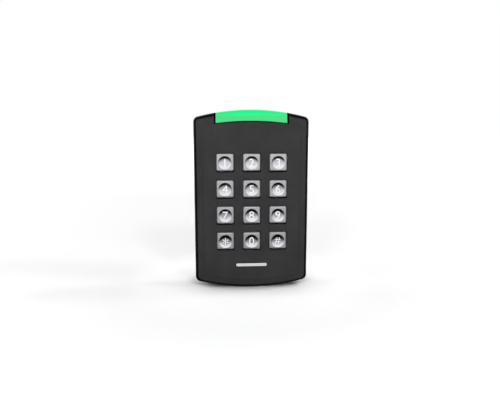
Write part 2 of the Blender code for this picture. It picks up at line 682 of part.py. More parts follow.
def make_wall_plate():
    plate = solid("wall_plate", slab(body_outline(PLATE_INSET), PLATE_FRONT_Y, 0.0), "steel")
    inside = PLATE_FRONT_Y + OVERRUN
    joined = [block(LIP_HALF_WIDTH, *LIP_Z, LIP_FRONT_Y, inside)]
    joined += [block(LUG_HALF_WIDTH, *LUG_Z, LUG_FRONT_Y, inside, side * LUG_X) for side in (-1, 1)]
    boolean(plate, many("join_lip_and_lugs", joined), "UNION")
    front, back = PLATE_FRONT_Y - OVERRUN, OVERRUN
    cuts = [block(CABLE_WINDOW_HALF_WIDTH, *CABLE_WINDOW_Z, front, back)]
    slot = box_outline(*SLOT_HALF, SLOT_HALF[1] - ROUND_END_FLAT, 3)
    cuts += [slab(moved(slot, 0.0, side * GANG_SCREW_Z), front, back) for side in (-1, 1)]
    x, z, radius = PLATE_HOLE
    cuts += rods(radius, front, back, 12, mirrored_places(x, (z, -z)))
    cuts += rods(TAMPER_PLATE_HOLE, front, back, 16, [(TAMPER_X, TAMPER_Z)])
    boolean(plate, many("cut_plate_holes", cuts))
    boolean(plate, security_cutter("cut_lip_hole"))


def make_badge():
    outline = box_outline(*BADGE_HALF, BADGE_HALF[1] - ROUND_END_FLAT, 3)
    solid("badge_plate", slab(outline, *BADGE_Y), "badge_white", (0, 0, BADGE_Z))


def main():
    for old in list(bpy.data.objects):
        bpy.data.objects.remove(old, do_unlink=True)
    make_front_housing()
    make_light_bar()
    make_badge()
    make_keys()
    make_keypad_mat()
    make_boards()
    make_terminal_block()
    make_tamper()
    make_rear_cover()
    make_screws()
    make_wall_plate()


main()
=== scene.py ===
"""Looks for the RFID card reader with a keypad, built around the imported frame. Metres throughout."""

import math

import bmesh
import bpy
from mathutils import Matrix, Vector


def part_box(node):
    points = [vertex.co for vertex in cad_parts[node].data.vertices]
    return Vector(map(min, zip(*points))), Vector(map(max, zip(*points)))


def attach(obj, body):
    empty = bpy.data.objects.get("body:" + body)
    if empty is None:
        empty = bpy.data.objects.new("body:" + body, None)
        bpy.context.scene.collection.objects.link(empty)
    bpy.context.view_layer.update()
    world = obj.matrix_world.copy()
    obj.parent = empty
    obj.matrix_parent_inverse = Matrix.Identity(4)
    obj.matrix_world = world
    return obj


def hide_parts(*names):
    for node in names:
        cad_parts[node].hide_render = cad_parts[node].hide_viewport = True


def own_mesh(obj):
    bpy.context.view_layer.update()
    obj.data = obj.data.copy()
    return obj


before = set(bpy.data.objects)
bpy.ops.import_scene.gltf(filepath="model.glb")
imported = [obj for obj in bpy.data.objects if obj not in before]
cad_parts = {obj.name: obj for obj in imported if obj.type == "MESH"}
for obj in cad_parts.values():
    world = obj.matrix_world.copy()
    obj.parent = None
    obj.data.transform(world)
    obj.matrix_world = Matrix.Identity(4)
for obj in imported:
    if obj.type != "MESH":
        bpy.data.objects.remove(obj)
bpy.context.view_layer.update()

MM = 0.001
ROOT = "reader"
KEY_SIGNS = {"star": "*", "hash": "#"}
KEYS = ["1", "2", "3", "4", "5", "6", "7", "8", "9", "star", "0", "hash"]


# Sizes read from the frame

def box_of(node):
    low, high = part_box(node)
    return low, high, (low + high) / 2


HOUSING_LOW, HOUSING_HIGH, _ = box_of("front_housing")
LENS_LOW, LENS_HIGH, _ = box_of("light_bar_lens")
CAP_LOW, CAP_HIGH, _ = box_of("key_cap_5")
PLATE_LOW, _, _ = box_of("wall_plate")
COVER_LOW, COVER_HIGH, _ = box_of("rear_cover")
BADGE_LOW, BADGE_HIGH, BADGE_MIDDLE = box_of("badge_plate")
BADGE_HALF_HEIGHT = (BADGE_HIGH.z - BADGE_LOW.z) / 2
GROMMET_LOW, _, GROMMET_MIDDLE = box_of("cable_grommet")
PIN_LOW, PIN_HIGH, PIN_MIDDLE = box_of("tamper_plunger")
SECURITY_LOW, _, SECURITY_MIDDLE = box_of("security_screw")

# How far a cutter runs past the surface that it cuts
PAST = 1.0 * MM
# Edges that turn by more degrees than this are shaded as sharp
SHARP_FROM = 35.0

BODY_HALF_WIDTH = HOUSING_HIGH.x
BODY_HALF_HEIGHT = HOUSING_HIGH.z
FACE_Y = HOUSING_LOW.y
SKIRT_Y = HOUSING_HIGH.y
END_RADIUS = 155.0 * MM
CORNER_RADIUS = 4.0 * MM
LEAST_CORNER = 1.0 * MM
BACK_EDGE = 0.35 * MM

FACE_HALF_WIDTH = 35.5 * MM
FACE_TOP = 56.9 * MM
FACE_TOP_RADIUS = 284.0 * MM
FACE_BOTTOM = -59.3 * MM
FACE_CORNER_RADIUS = 2.5 * MM
BORDER_DROP = 0.7 * MM
# Shares of the way from the face's outline to the body's: where the border's slope ends, and the crease
BORDER_END_SHARE = 0.5
CREASE_WIDTH = 0.07
CREASE_DEPTH = 0.12 * MM
# The case is polished, and painted darker as shade, where it turns away from the front by more than this
EDGE_GLOSS_AND_SHADE_FROM = math.radians(20.0)
EDGE_START_Y = FACE_Y + 4.2 * MM
FRONT_WALL = 2.0 * MM
CAVITY_SIDE_Y = FACE_Y + 5.0 * MM
CAVITY_WALL = 3.0 * MM
SKIRT_WALL = 1.5 * MM
LEDGE_Y = -6.6 * MM
# Clear space round the light bar and the rear cover, and round the badge
GAP = 0.3 * MM
BADGE_GAP = 0.55 * MM
BADGE_RECESS = 0.7 * MM
BADGE_EDGE = 0.12 * MM
# What a round end lacks of a full half circle
ROUND_END_FLAT = 0.1 * MM

KEY_HALF = (CAP_HIGH.x - CAP_LOW.x) / 2
KEY_TOP_Y = CAP_LOW.y
KEY_BACK_Y = CAP_HIGH.y
KEY_CORNER = 1.3 * MM
KEY_EDGE = 0.9 * MM
KEY_HOLLOW_HALF = 5.0 * MM
KEY_HOLLOW_CORNER = 0.6 * MM
KEY_HOLLOW_DEPTH = 1.6 * MM
DISH_RADIUS = 4.8 * MM
DISH_DEPTH = 0.50 * MM
DISH_POWER = 4
DISH_LIP = 0.12 * MM
# How far the dish's centre is below the key's
DISH_DROP = 0.4 * MM
# How far a key's window runs from the key's centre to the left, right, top and bottom
WINDOW = (KEY_HALF + 0.12 * MM, KEY_HALF + 0.32 * MM, KEY_HALF + 0.15 * MM, 7.2 * MM)
WINDOW_LIP = 0.08 * MM
# Faces of the case that are further behind the flat front than this don't belong to it
FLUSH = 0.005 * MM
LEGEND_HEIGHT = 5.8 * MM
SIGN_HEIGHT = 4.8 * MM
# A legend is cut into cells of this size, so that it can bend with the dish
LEGEND_CELL = 0.45 * MM
LEGEND_PROUD = 0.04 * MM
LEGEND_SUNK = 0.10 * MM

LENS_LOW_Z = 57.5 * MM
LENS_LOW_RADIUS = 198.0 * MM
GROOVE_WIDTH = 1.3 * MM
GROOVE_DEPTH = 1.2 * MM
GROOVE_LOW_Z = 56.5 * MM

MAT_THICKNESS = 1.0 * MM
MAT_CORNER = 2.0 * MM
# Radius of the hole under a dome, at the back and at the front of the sheet
MAT_HOLE = (4.4 * MM, 4.2 * MM)
# A dome's section as (radius, y) in mm: y is from the sheet's front for the foot, and else from the top
DOME_FOOT = [(5.2, -0.15), (4.9, -0.35)]
DOME_TOP = [(3.7, 0.35), (3.4, 0.05), (3.1, 0.0), (0.4, 0.0)]
DOME_INNER_TOP = [(0.4, 1.1), (2.6, 1.1), (2.9, 1.3)]
DOME_INNER_FOOT = [(4.3, -0.1)]

# Below everything, for cutters that run out at the bottom
FAR_DOWN = -70.0 * MM
# The rear cover's notch for the plate's tab and the security screw, and the boss that the screw runs through
NOTCH_HALF_WIDTH = 8.0 * MM
NOTCH_TOP = -57.0 * MM
NOTCH_FRONT = -9.0 * MM
BOSS_HALF_WIDTH = 4.5 * MM
BOSS_TOP = -61.5 * MM
BOSS_BACK = -2.3 * MM


def mirrored(x, heights):
    return [(side * x, z) for z in heights for side in (-1, 1)]


# Where the screws stand, and (radius of the head, its height, whole length)
COVER_SCREWS = mirrored(36.0 * MM, (50.0 * MM, -50.0 * MM))
COVER_SCREW = (2.4 * MM, 0.75 * MM, 12.0 * MM)
BOARD_SCREWS = mirrored(26.0 * MM, (46.5 * MM, -48.5 * MM))
BOARD_SCREW = (2.1 * MM, 1.3 * MM, 7.0 * MM)
SECURITY_SCREW = (1.85 * MM, 0.95 * MM, 7.0 * MM)
SCREW_HOLE = 1.5 * MM
# A head's section as shares of its radius and height, from the socket outwards
SCREW_HEAD = [(0.75, 0.0), (0.93, 0.12), (1.0, 0.4), (1.0, 1.0)]
# Its socket's mean radius, how far the lobes reach beyond it, and the depth, as the same shares
SOCKET_RADIUS = 0.42
SOCKET_LOBE = 0.07
SOCKET_DEPTH = 0.6
SHANK = 1.2 * MM
PITCH = 0.6 * MM
# Radii along the shank as shares of its own
SCREW_NECK = 0.85
THREAD_ROOT = 0.80
POINT_START = 0.75
POINT_END = 0.3
# The cover and board screws' posts inside the housing and the holes in them, as (radius, front, back)
COVER_POST = (3.2 * MM, FACE_Y + PAST, -7.0 * MM)
COVER_PILOT = (SCREW_HOLE, -16.5 * MM, -6.0 * MM)
BOARD_POST = (2.8 * MM, FACE_Y + PAST, -16.2 * MM)
BOARD_PILOT = (SCREW_HOLE, -20.5 * MM, -15.2 * MM)
SECURITY_HEAD_HOLE = 2.2 * MM
SECURITY_SEAT_Z = -63.9 * MM
SECURITY_HOLE_TOP = -56.8 * MM

COVER_CUT_FRONT = -6.0 * MM
COUNTERBORE = 2.9 * MM
COUNTERBORE_SEAT = -4.0 * MM
GROMMET_HOLE = 4.5 * MM
# The grommet's section as (radius, y) in mm
GROMMET_PROFILE = [(3.0, -6.6), (3.2, -6.75), (5.2, -6.75), (5.7, -6.4), (6.0, -5.6), (4.2, -5.6),
                   (4.2, -2.6), (6.0, -2.6), (5.9, -1.7), (5.4, -1.25), (3.3, -1.15), (3.0, -1.4)]
COVER_PIN_HOLE = 1.9 * MM
PLATE_PIN_HOLE = 2.1 * MM
LUG_X = 20.0 * MM
# The plate's lugs and the slots that they hook into, as (half width, low z, high z, front)
LUG = (4.0 * MM, 51.0 * MM, 53.0 * MM, -4.0 * MM)
LUG_SLOT = (4.5 * MM, 50.4 * MM, 55.0 * MM, -4.3 * MM)

PLATE_INSET = 3.2 * MM
PLATE_THICKNESS = 2.0 * MM
# The tab for the security screw, as (half width, low z, high z)
TAB = (5.0 * MM, -61.2 * MM, -59.2 * MM)
CABLE_OPENING_HALF = 14.0 * MM
CABLE_OPENING_CORNER = 1.0 * MM
CABLE_OPENING_Z = 22.0 * MM
SLOT_HALF = (4.5 * MM, 2.0 * MM)
SLOT_CORNER = 1.9 * MM
SLOT_Z = 41.65 * MM
WALL_HOLE = 2.0 * MM
WALL_HOLES = mirrored(30.0 * MM, (50.0 * MM, -50.0 * MM))

# The tamper pin as (radius, y) in mm, y from its front end and then from its rear end
PIN_FRONT = [(0.5, 0.0), (1.0, 0.1), (1.2, 0.35), (1.2, 1.3), (4.7, 1.3), (4.9, 1.5), (4.9, 2.4), (4.7, 2.6),
             (1.6, 2.6)]
PIN_BACK = [(1.6, -0.7), (1.45, -0.3), (1.1, -0.08), (0.5, 0.0)]
COIL_WIRE = 0.3 * MM
COIL_RADIUS = 4.3 * MM
COIL_TURNS = 5
# Share of the turns that is nearly flat at each end, and share of the height that is climbed evenly all along
COIL_FLAT = 0.12
COIL_EVEN_CLIMB = 0.09


# Outlines, as lists of (x, z)

def rounded_end(half_width, edge, radius, corner, corner_steps=10, end_steps=20):
    """Upper right corner and the bulging end, from the side up to the middle."""
    centre_z = edge - radius
    corner_x = half_width - corner
    corner_z = centre_z + math.sqrt((radius - corner) ** 2 - corner_x ** 2)
    meet = math.atan2(corner_z - centre_z, corner_x)
    points = []
    for step in range(corner_steps + 1):
        angle = meet * step / corner_steps
        points.append((corner_x + corner * math.cos(angle), corner_z + corner * math.sin(angle)))
    for step in range(1, end_steps + 1):
        angle = meet + (math.pi / 2 - meet) * step / end_steps
        points.append((radius * math.cos(angle), centre_z + radius * math.sin(angle)))
    return points


def shield(half_width, top, top_radius, bottom, bottom_radius, corner):
    """Straight sides, rounded corners, and top and bottom edges that bulge."""
    upper = rounded_end(half_width, top, top_radius, corner)
    lower = [(x, -z) for x, z in rounded_end(half_width, -bottom, bottom_radius, corner)]
    upper_left = [(-x, z) for x, z in reversed(upper[:-1])]
    lower_left = [(-x, z) for x, z in lower[:-1]]
    return upper + upper_left + lower_left + list(reversed(lower))


def body_outline(inset):
    edge = BODY_HALF_HEIGHT - inset
    radius = END_RADIUS - inset
    corner = max(CORNER_RADIUS - inset, LEAST_CORNER)
    return shield(BODY_HALF_WIDTH - inset, edge, radius, -edge, radius, corner)


def face_outline():
    bottom_radius = END_RADIUS - (BODY_HALF_HEIGHT + FACE_BOTTOM)
    return shield(FACE_HALF_WIDTH, FACE_TOP, FACE_TOP_RADIUS, FACE_BOTTOM, bottom_radius, FACE_CORNER_RADIUS)


def between(inner, outer, share):
    """The outline that is share of the way from inner to outer."""
    return [(a[0] + (b[0] - a[0]) * share, a[1] + (b[1] - a[1]) * share) for a, b in zip(inner, outer)]


def rounded_box(half_width, half_height, corner, steps=8):
    points = []
    for quarter, (side_x, side_z) in enumerate([(1, 1), (-1, 1), (-1, -1), (1, -1)]):
        for step in range(steps + 1):
            angle = math.pi / 2 * (quarter + step / steps)
            x = side_x * (half_width - corner) + corner * math.cos(angle)
            points.append((x, side_z * (half_height - corner) + corner * math.sin(angle)))
    return points


def circle(radius, segments):
    angles = [2 * math.pi * (i + 0.5) / segments for i in range(segments)]
    return [(radius * math.cos(angle), radius * math.sin(angle)) for angle in angles]


def moved(outline, x, z):
    return [(px + x, pz + z) for px, pz in outline]


def arc_pairs(start, bend, end, steps):
    """Points of a curve that leaves start, and reaches end, along the lines to bend."""
    points = []
    for step in range(steps + 1):
        t = step / steps
        points.append(tuple((1 - t) ** 2 * a + 2 * t * (1 - t) * b + t ** 2 * c
                            for a, b, c in zip(start, bend, end)))
    return points


# Meshes

def ring_loops(bm, rings):
    """A loop of vertices for each (outline, y) of rings."""
    return [[bm.verts.new((x, y, z)) for x, z in outline] for outline, y in rings]


def bridge(bm, loops):
    """Faces from each loop of vertices to the next."""
    for near, far in zip(loops, loops[1:]):
        for i in range(len(near)):
            j = (i + 1) % len(near)
            bm.faces.new((near[i], near[j], far[j], far[i]))


def add_rings(bm, rings, cyclic=False):
    """Faces through rings of (outline, y), with a cap at each free end."""
    loops = ring_loops(bm, rings)
    bridge(bm, loops + loops[:1] if cyclic else loops)
    if not cyclic:
        bm.faces.new(loops[0])
        bm.faces.new(loops[-1])


def new_object(name, bm, sharp=SHARP_FROM):
    bmesh.ops.recalc_face_normals(bm, faces=bm.faces)
    mesh = bpy.data.meshes.new(name)
    bm.to_mesh(mesh)
    bm.free()
    mesh.shade_smooth()
    mesh.set_sharp_from_angle(angle=math.radians(sharp))
    made = bpy.data.objects.new(name, mesh)
    bpy.context.scene.collection.objects.link(made)
    return made


def solid(name, *groups, cyclic=False):
    """One object from one or more closed bodies, each given as rings."""
    bm = bmesh.new()
    for rings in groups:
        add_rings(bm, rings, cyclic)
    return new_object(name, bm)


def slab(outline, front, back):
    return [(outline, front), (outline, back)]


def block(half_width, low_z, high_z, front, back, x=0.0):
    half_height = (high_z - low_z) / 2
    outline = [(half_width, half_height), (-half_width, half_height),
               (-half_width, -half_height), (half_width, -half_height)]
    return slab(moved(outline, x, (low_z + high_z) / 2), front, back)


def turned(profile, segments, x=0.0, z=0.0):
    return [(moved(circle(radius, segments), x, z), y) for radius, y in profile]


def round_bars(places, size, segments=32):
    """A straight round bar of size (radius, front, back) at each of the places."""
    radius, front, back = size
    return [turned([(radius, front), (radius, back)], segments, x, z) for x, z in places]


def section(points, y):
    """Points of a section given as (radius, y) in mm, in metres and moved by y."""
    return [(radius * MM, y + offset * MM) for radius, offset in points]


def combine(target, steps):
    """Cuts or joins each (operation, other) into target in turn, and keeps only the result."""
    for operation, other in steps:
        modifier = target.modifiers.new(other.name, "BOOLEAN")
        modifier.operation = operation
        modifier.solver = "EXACT"
        modifier.object = other
    settle(target)
    for _, other in steps:
        bpy.data.objects.remove(other, do_unlink=True)
    return target


def settle(target):
    """Turns target's modifiers into plain mesh."""
    graph = bpy.context.evaluated_depsgraph_get()
    result = bpy.data.meshes.new_from_object(target.evaluated_get(graph))
    target.modifiers.clear()
    target.data = result
    result.shade_smooth()
    result.set_sharp_from_angle(angle=math.radians(SHARP_FROM))


def soften(target, width, segments=2, angle=40.0):
    """Small rounded edges, and shading that keeps the faces between them flat."""
    bevel = target.modifiers.new("edges", "BEVEL")
    bevel.width = width
    bevel.segments = segments
    bevel.limit_method = "ANGLE"
    bevel.angle_limit = math.radians(angle)
    bevel.use_clamp_overlap = True
    flatten(target)


def flatten(target):
    """Shading that follows the large faces more than the small ones beside them."""
    normals = target.modifiers.new("normals", "WEIGHTED_NORMAL")
    normals.keep_sharp = True
    normals.weight = 100


# Materials

def shader_nodes(name):
    made = bpy.data.materials.new(name)
    made.use_nodes = True
    tree = made.node_tree
    return made, tree, tree.nodes["Principled BSDF"]


def object_noise(tree, size, detail=3.0):
    """Noise with features about size across, in metres."""
    place = tree.nodes.new("ShaderNodeTexCoord")
    mapping = tree.nodes.new("ShaderNodeMapping")
    mapping.inputs["Scale"].default_value = [1 / size] * 3
    noise = tree.nodes.new("ShaderNodeTexNoise")
    noise.inputs["Scale"].default_value = 1.0
    noise.inputs["Detail"].default_value = detail
    tree.links.new(place.outputs["Object"], mapping.inputs["Vector"])
    tree.links.new(mapping.outputs["Vector"], noise.inputs["Vector"])
    return noise.outputs["Fac"]


def ramp(tree, factor, stops):
    node = tree.nodes.new("ShaderNodeValToRGB")
    node.color_ramp.elements.remove(node.color_ramp.elements[1])
    for number, (place, colour) in enumerate(stops):
        element = node.color_ramp.elements[0] if number == 0 else node.color_ramp.elements.new(place)
        element.position = place
        element.color = (*colour, 1.0)
    tree.links.new(factor, node.inputs["Fac"])
    return node.outputs["Color"]


def spread(tree, factor, low, high):
    """The range that a noise mostly stays in, 0.3 to 0.7, becomes low to high."""
    node = tree.nodes.new("ShaderNodeMapRange")
    node.inputs["From Min"].default_value = 0.3
    node.inputs["From Max"].default_value = 0.7
    node.inputs["To Min"].default_value = low
    node.inputs["To Max"].default_value = high
    tree.links.new(factor, node.inputs["Value"])
    return node.outputs["Result"]


def bumped(tree, shader, height, strength, distance):
    node = tree.nodes.new("ShaderNodeBump")
    node.inputs["Strength"].default_value = strength
    node.inputs["Distance"].default_value = distance
    tree.links.new(height, node.inputs["Height"])
    tree.links.new(node.outputs["Normal"], shader.inputs["Normal"])


def moulded(name, colour, roughness, grain=0.35 * MM, bump=0.25, vary=0.12, specular=0.5):
    """Moulded plastic or rubber: a fine spark-eroded grain, and faint drifts in colour and gloss."""
    made, tree, shader = shader_nodes(name)
    drift = object_noise(tree, 14.0 * MM)
    dark = [c * (1 - vary) for c in colour]
    light = [min(1.0, c * (1 + vary)) for c in colour]
    tree.links.new(ramp(tree, drift, [(0.3, dark), (0.7, light)]), shader.inputs["Base Color"])
    fine = object_noise(tree, grain, detail=2.0)
    gloss = spread(tree, fine, roughness - 0.05, roughness + 0.05)
    tree.links.new(gloss, shader.inputs["Roughness"])
    shader.inputs["Specular IOR Level"].default_value = specular
    bumped(tree, shader, fine, bump, 0.02 * MM)
    return made


def metal(name, colour, roughness, grain=0.25 * MM, bump=0.08, vary=0.06, metallic=1.0):
    """Bare or plated metal with a fine grain and slight stains."""
    made, tree, shader = shader_nodes(name)
    drift = object_noise(tree, 5.0 * MM)
    dark = [c * (1 - vary) for c in colour]
    tree.links.new(ramp(tree, drift, [(0.3, dark), (0.7, colour)]), shader.inputs["Base Color"])
    fine = object_noise(tree, grain, detail=2.0)
    tree.links.new(spread(tree, fine, roughness - 0.05, roughness + 0.05), shader.inputs["Roughness"])
    shader.inputs["Metallic"].default_value = metallic
    bumped(tree, shader, fine, bump, 0.01 * MM)
    return made


# Light that the light bar and the legends give off
LENS_GLOW = (0.0, 0.82, 0.20)
LENS_LIP_GLOW = (0.065, 0.56, 0.18)
LENS_STRENGTH = 1.0
LEGEND_STRENGTH = 0.42


def along_z(tree, low, high):
    """0 at height low and 1 at height high."""
    place = tree.nodes.new("ShaderNodeTexCoord")
    parts = tree.nodes.new("ShaderNodeSeparateXYZ")
    node = tree.nodes.new("ShaderNodeMapRange")
    node.inputs["From Min"].default_value = low
    node.inputs["From Max"].default_value = high
    tree.links.new(place.outputs["Object"], parts.inputs["Vector"])
    tree.links.new(parts.outputs["Z"], node.inputs["Value"])
    return node.outputs["Result"]


def glowing_lens(name):
    """Frosted green plastic, lit from inside: paler along the front lip, deeper over the top edge."""
    made, tree, shader = shader_nodes(name)
    height = along_z(tree, LENS_LOW.z, LENS_HIGH.z)
    glow = ramp(tree, height, [(0.45, LENS_LIP_GLOW), (0.7, LENS_GLOW)])
    tree.links.new(glow, shader.inputs["Emission Color"])
    shader.inputs["Emission Strength"].default_value = LENS_STRENGTH
    cloud = object_noise(tree, 6.0 * MM)
    body = ramp(tree, cloud, [(0.3, (0.01, 0.14, 0.05)), (0.7, (0.012, 0.16, 0.06))])
    tree.links.new(body, shader.inputs["Base Color"])
    fine = object_noise(tree, 0.4 * MM, detail=2.0)
    tree.links.new(spread(tree, fine, 0.28, 0.36), shader.inputs["Roughness"])
    shader.inputs["Specular IOR Level"].default_value = 0.25
    bumped(tree, shader, fine, 0.1, 0.01 * MM)
    return made


def lit_legend(name):
    """White translucent print, lit a little from behind."""
    made, tree, shader = shader_nodes(name)
    cloud = object_noise(tree, 1.5 * MM)
    colour = ramp(tree, cloud, [(0.3, (0.62, 0.62, 0.64)), (0.7, (0.66, 0.66, 0.67))])
    tree.links.new(colour, shader.inputs["Base Color"])
    tree.links.new(colour, shader.inputs["Emission Color"])
    shader.inputs["Emission Strength"].default_value = LEGEND_STRENGTH
    shader.inputs["Roughness"].default_value = 0.4
    return made


def circuit_board(name):
    """Green solder mask over copper, with paler lines where tracks show through."""
    made, tree, shader = shader_nodes(name)
    place = tree.nodes.new("ShaderNodeTexCoord")
    mapping = tree.nodes.new("ShaderNodeMapping")
    mapping.inputs["Scale"].default_value = (1 / MM, 1 / MM, 1 / MM)
    mapping.inputs["Rotation"].default_value = (math.pi / 2, 0, 0)
    bricks = tree.nodes.new("ShaderNodeTexBrick")
    bricks.inputs["Scale"].default_value = 0.18
    bricks.inputs["Mortar Size"].default_value = 0.035
    bricks.inputs["Color1"].default_value = (0.010, 0.115, 0.045, 1)
    bricks.inputs["Color2"].default_value = (0.012, 0.140, 0.055, 1)
    bricks.inputs["Mortar"].default_value = (0.045, 0.260, 0.090, 1)
    tree.links.new(place.outputs["Object"], mapping.inputs["Vector"])
    tree.links.new(mapping.outputs["Vector"], bricks.inputs["Vector"])
    tree.links.new(bricks.outputs["Color"], shader.inputs["Base Color"])
    shader.inputs["Roughness"].default_value = 0.32
    bumped(tree, shader, bricks.outputs["Fac"], 0.3, 0.03 * MM)
    return made


def wound_copper(name):
    """Enamelled wire whose strands show as fine spots of light and dark copper."""
    made, tree, shader = shader_nodes(name)
    strands = object_noise(tree, 0.3 * MM, detail=1.0)
    colour = ramp(tree, strands, [(0.35, (0.45, 0.16, 0.07)), (0.65, (0.78, 0.38, 0.20))])
    tree.links.new(colour, shader.inputs["Base Color"])
    shader.inputs["Metallic"].default_value = 1.0
    shader.inputs["Roughness"].default_value = 0.3
    bumped(tree, shader, strands, 0.4, 0.05 * MM)
    return made


def clear_moulding(name):
    made, tree, shader = shader_nodes(name)
    cloud = object_noise(tree, 4.0 * MM)
    tint = ramp(tree, cloud, [(0.3, (0.86, 0.90, 0.88)), (0.7, (0.93, 0.95, 0.94))])
    tree.links.new(tint, shader.inputs["Base Color"])
    tree.links.new(spread(tree, cloud, 0.12, 0.22), shader.inputs["Roughness"])
    shader.inputs["Transmission Weight"].default_value = 0.7
    shader.inputs["IOR"].default_value = 1.49
    return made


CASE = moulded("case_plastic", (0.0370, 0.0370, 0.0373), 0.38, specular=0.10)
# Polished edge and sides, far darker than the front: real gloss, and painted shade
CASE_EDGE_GLOSS_AND_SHADE = moulded("case_polished_and_painted_shade", (0.004, 0.004, 0.004), 0.16, bump=0.03)
# Near-black painted shade for the gaps round keys, badge and light bar, and the groove
CASE_PAINTED_SHADE = moulded("case_painted_shade", (0.003, 0.003, 0.003), 0.8, specular=0.02)
# Near-black key carriers, so that the gaps round the keys read dark: painted shade
CARRIER_PAINTED_SHADE = moulded("key_carrier_painted_shade", (0.006, 0.006, 0.006), 0.6, specular=0.1)
COVER = moulded("cover_plastic", (0.018, 0.018, 0.019), 0.55)
RUBBER = moulded("rubber", (0.035, 0.035, 0.037), 0.75, grain=0.6 * MM, specular=0.3)
MAT = moulded("mat_silicone", (0.16, 0.16, 0.17), 0.65, grain=0.6 * MM, specular=0.3)
WHITE = moulded("white_moulding", (0.74, 0.74, 0.71), 0.4, bump=0.1, vary=0.03)
CHIP = moulded("chip_resin", (0.018, 0.018, 0.018), 0.5, grain=0.2 * MM)
TERMINAL = moulded("terminal_moulding", (0.02, 0.20, 0.07), 0.42)
BADGE = moulded("badge_inlay", (0.68, 0.68, 0.69), 0.35, bump=0.08, vary=0.02)
KEY_SATIN = metal("key_satin", (0.76, 0.76, 0.78), 0.34, metallic=0.85)
KEY_POLISHED = metal("key_polished", (0.88, 0.88, 0.90), 0.09, bump=0.02)
ZINC = metal("zinc_plate", (0.60, 0.60, 0.58), 0.36, grain=0.9 * MM, vary=0.12)
SCREW = metal("screw_steel", (0.55, 0.55, 0.56), 0.28, grain=0.3 * MM)
SPRING = metal("spring_wire", (0.62, 0.62, 0.62), 0.22, grain=0.3 * MM)
LENS = glowing_lens("lit_lens")
LEGEND = lit_legend("lit_legend")
BOARD = circuit_board("circuit_board")
COPPER = wound_copper("wound_copper")
CLEAR = clear_moulding("clear_moulding")


def finish_piece(piece, body, nodes, slot, *materials):
    """Gives piece its materials and body; slot is not used. Faces take the first material, whatever they had
    before.
    """
    piece.data.materials.clear()
    for made in materials:
        piece.data.materials.append(made)
    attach(piece, body)
    if nodes:
        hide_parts(*nodes)


# Camera

def make_camera():
    """In front, a little above and a touch to the left, about a third of a metre away."""
    distance = 353.0 * MM
    tilt = math.radians(8.93)
    turn = math.radians(3.3)
    aim = Vector((-1.225 * MM, KEY_TOP_Y, 1.03 * MM))
    back = Vector((-math.sin(turn) * math.cos(tilt), -math.cos(turn) * math.cos(tilt), math.sin(tilt)))
    data = bpy.data.cameras.new("camera")
    data.sensor_width = 36.0
    data.lens = 35.3
    data.clip_start = 0.01
    camera = bpy.data.objects.new("camera", data)
    camera.location = aim + distance * back
    camera.rotation_euler = (math.pi / 2 - tilt, 0, -turn)
    bpy.context.scene.collection.objects.link(camera)
    bpy.context.scene.camera = camera


# Case and light bar

def outer_rings():
    """The body's outer surface: flat face, fine crease, sloping border, rounded edge, straight side."""
    face = face_outline()
    outer = body_outline(0.0)
    slope = BORDER_DROP / BORDER_END_SHARE
    crease_bend = (0.0, FACE_Y + 2 * CREASE_DEPTH)
    crease_end = (CREASE_WIDTH, FACE_Y + slope * CREASE_WIDTH)
    profile = [(-2 * CREASE_WIDTH, FACE_Y)]
    profile += arc_pairs((-CREASE_WIDTH, FACE_Y), crease_bend, crease_end, 6)
    profile += arc_pairs((BORDER_END_SHARE, FACE_Y + BORDER_DROP), (1.0, FACE_Y + slope),
                         (1.0, EDGE_START_Y), 14)
    profile.append((1.0, SKIRT_Y - BACK_EDGE))
    rings = [(between(face, outer, share), y) for share, y in profile]
    rings.append((body_outline(BACK_EDGE * 0.3), SKIRT_Y - BACK_EDGE * 0.3))
    rings.append((body_outline(BACK_EDGE), SKIRT_Y))
    return rings


def cavity_rings():
    sides = body_outline(CAVITY_WALL)
    return [(face_outline(), FACE_Y + FRONT_WALL), (sides, CAVITY_SIDE_Y), (sides, LEDGE_Y + PAST)]


def bar_edge(x, low_z, radius):
    return low_z - radius + math.sqrt(radius ** 2 - x ** 2)


def bar_outline(half_width, low_z, radius):
    """From an arched lower edge, low_z high at the middle, to above the body."""
    steps = 30
    points = []
    for step in range(steps + 1):
        x = -half_width + 2 * half_width * step / steps
        points.append((x, bar_edge(x, low_z, radius)))
    above = BODY_HALF_HEIGHT + CORNER_RADIUS
    return points + [(half_width, above), (-half_width, above)]


def lens_outline(spread_by):
    return bar_outline(LENS_HIGH.x + spread_by, LENS_LOW_Z - spread_by, LENS_LOW_RADIUS)


def groove_cutter():
    """A shallow groove round the light bar, as deep below the outer surface all along, which paint_case
    paints near-black as shade.
    """
    outline = bar_outline(LENS_HIGH.x + GROOVE_WIDTH, GROOVE_LOW_Z, FACE_TOP_RADIUS)
    groove = solid("groove", slab(outline, FACE_Y - PAST, EDGE_START_Y + GROOVE_DEPTH))
    floor = solid("groove_floor", [(points, y + GROOVE_DEPTH) for points, y in outer_rings()])
    return combine(groove, [("DIFFERENCE", floor)])


def key_centre(name):
    middle = box_of("key_cap_" + name)[2]
    return middle.x, middle.z


def window_cutter(x, z):
    """A nearly square hole with a small rounded lip at the front face."""
    left, right, above, below = WINDOW
    shift = (right - left) / 2
    rise = (above - below) / 2
    lip_steps = 3
    sizes = [(WINDOW_LIP, FACE_Y - PAST)]
    for step in range(lip_steps + 1):
        angle = math.pi / 2 * step / lip_steps
        sizes.append((WINDOW_LIP * (1 - math.sin(angle)), FACE_Y + WINDOW_LIP * (1 - math.cos(angle))))
    sizes.append((0.0, FACE_Y + FRONT_WALL + PAST))
    rings = []
    for grow, y in sizes:
        outline = rounded_box((left + right) / 2 + grow, (above + below) / 2 + grow, KEY_CORNER + grow)
        rings.append((moved(outline, x + shift, z + rise), y))
    return rings


